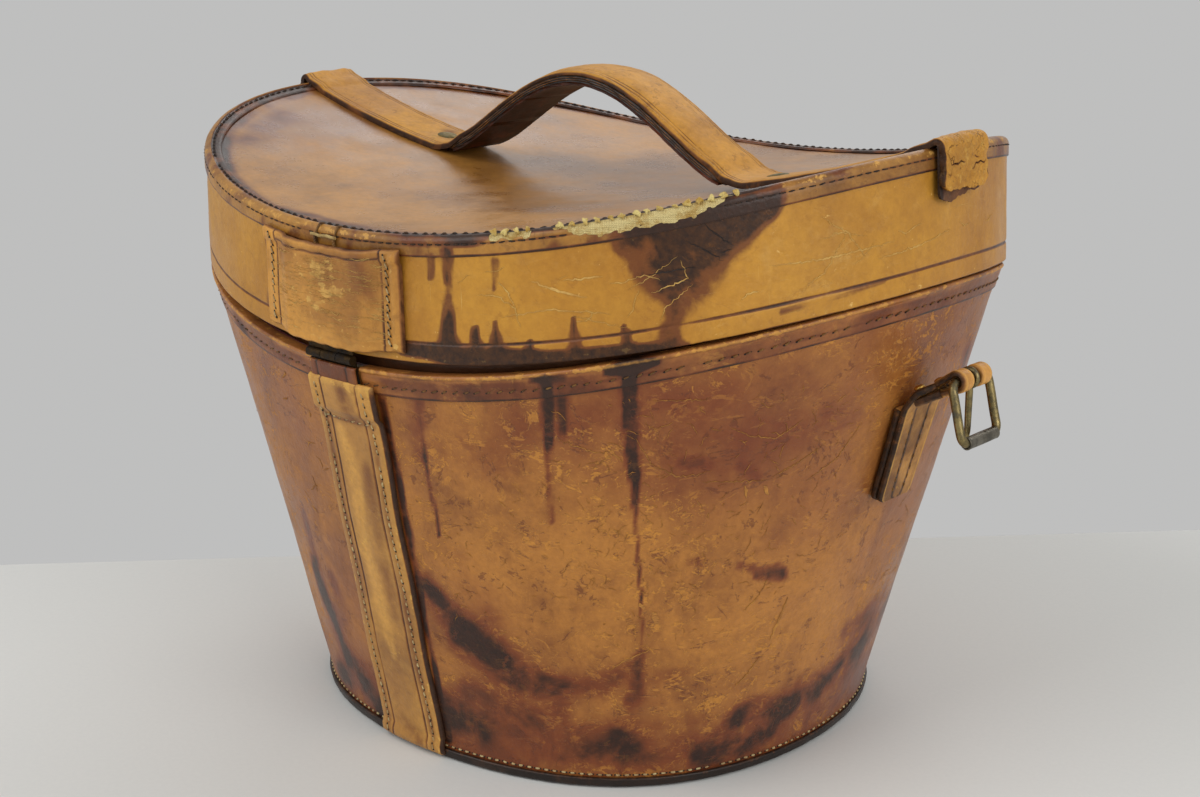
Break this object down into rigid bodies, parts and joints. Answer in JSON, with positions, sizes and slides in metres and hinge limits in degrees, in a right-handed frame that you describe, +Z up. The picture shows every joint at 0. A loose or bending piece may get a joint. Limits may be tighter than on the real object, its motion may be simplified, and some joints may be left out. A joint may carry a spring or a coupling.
{
  "type": "hat box",
  "caption": "Oval leather bucket hat box with a saddle-shaped hinged lid, a strap handle and a roller buckle on a tab at each end.",
  "frame": {"origin": "centre of the underside of the base, on the face it stands on", "axes": "+X along the oval's long axis towards one buckle, -Y towards the side with the seam strip and the hinge, +Z up"},
  "size_m": [0.366, 0.2719, 0.2537],
  "materials": {
    "body_cover": "worn glossy leather",
    "body_board": "canvas-covered board",
    "body_lining": "padded satin",
    "collar": "smooth leather",
    "rim_binding": "stitched, rubbed leather",
    "base_cover": "scuffed dark leather",
    "base_board": "board",
    "base_lining": "padded satin",
    "base_welt": "black waxed leather",
    "seam_strip": "stitched leather",
    "hinge_body_leaf": "tarnished",
    "hinge_pin": "tarnished",
    "chape_right": "creased leather",
    "chape_left": "creased leather",
    "chape_rivets_right": "rubbed bright",
    "chape_rivets_left": "rubbed bright",
    "lid_band": "scratched, stained leather",
    "lid_band_board": "canvas-covered board",
    "lid_band_lining": "satin",
    "lid_top_cover": "polished, crazed leather",
    "lid_top_board": "canvas-covered board",
    "lid_top_lining": "satin",
    "lid_edge_binding": "stitched, worn leather",
    "lid_patch": "scuffed leather",
    "patch_ties": "waxed thread",
    "hinge_lid_leaf": "tarnished",
    "strap": "cracked leather",
    "handle_core": "layered dark leather",
    "handle_lining": "smooth leather",
    "handle_rivets": "with green tarnish",
    "buckle_frame_right": "aged",
    "buckle_prong_right": "aged",
    "buckle_roller_right": "worn plating",
    "buckle_frame_left": "aged",
    "buckle_prong_left": "aged",
    "buckle_roller_left": "worn plating"
  },
  "bodies": {
    "body": {"body_cover": "body_cover", "body_board": "body_board", "body_lining": "body_lining", "collar": "collar", "rim_binding": "rim_binding", "base_cover": "base_cover", "base_board": "base_board", "base_lining": "base_lining", "base_welt": "base_welt", "seam_strip": "seam_strip", "hinge_body_leaf": "hinge_body_leaf", "hinge_pin": "hinge_pin", "chape_right": "chape_right", "chape_left": "chape_left", "chape_rivets_right": "chape_rivets_right", "chape_rivets_left": "chape_rivets_left"},
    "lid": {"lid_band": "lid_band", "lid_band_board": "lid_band_board", "lid_band_lining": "lid_band_lining", "lid_top_cover": "lid_top_cover", "lid_top_board": "lid_top_board", "lid_top_lining": "lid_top_lining", "lid_edge_binding": "lid_edge_binding", "lid_patch": "lid_patch", "patch_ties": "patch_ties", "hinge_lid_leaf": "hinge_lid_leaf", "strap": "strap", "handle_core": "handle_core", "handle_lining": "handle_lining", "handle_rivets": "handle_rivets"},
    "buckle_right": {"buckle_frame_right": "buckle_frame_right"},
    "prong_right": {"buckle_prong_right": "buckle_prong_right"},
    "roller_right": {"buckle_roller_right": "buckle_roller_right"},
    "buckle_left": {"buckle_frame_left": "buckle_frame_left"},
    "prong_left": {"buckle_prong_left": "buckle_prong_left"},
    "roller_left": {"buckle_roller_left": "buckle_roller_left"}
  },
  "joints": [
    {"name": "lid_hinge", "type": "hinge", "parent": "body", "child": "lid", "pos_m": [-0.004, -0.13415, 0.16235], "axis": [1, 0, 0], "range_deg": [0, 110]},
    {"name": "buckle_right_swing", "type": "hinge", "parent": "body", "child": "buckle_right", "pos_m": [0.1752, 0, 0.1585], "axis": [0, -1, 0], "range_deg": [-20, 150]},
    {"name": "prong_right_swing", "type": "hinge", "parent": "buckle_right", "child": "prong_right", "pos_m": [0.1752, 0, 0.1585], "axis": [0, -1, 0], "range_deg": [-10, 5]},
    {"name": "roller_right_spin", "type": "hinge", "parent": "buckle_right", "child": "roller_right", "pos_m": [0.18076, 0, 0.13773], "axis": [0, -1, 0], "continuous": true},
    {"name": "buckle_left_swing", "type": "hinge", "parent": "body", "child": "buckle_left", "pos_m": [-0.1752, 0, 0.1585], "axis": [0, 1, 0], "range_deg": [-20, 150]},
    {"name": "prong_left_swing", "type": "hinge", "parent": "buckle_left", "child": "prong_left", "pos_m": [-0.1752, 0, 0.1585], "axis": [0, 1, 0], "range_deg": [-10, 5]},
    {"name": "roller_left_spin", "type": "hinge", "parent": "buckle_left", "child": "roller_left", "pos_m": [-0.18076, 0, 0.13773], "axis": [0, 1, 0], "continuous": true}
  ]
}
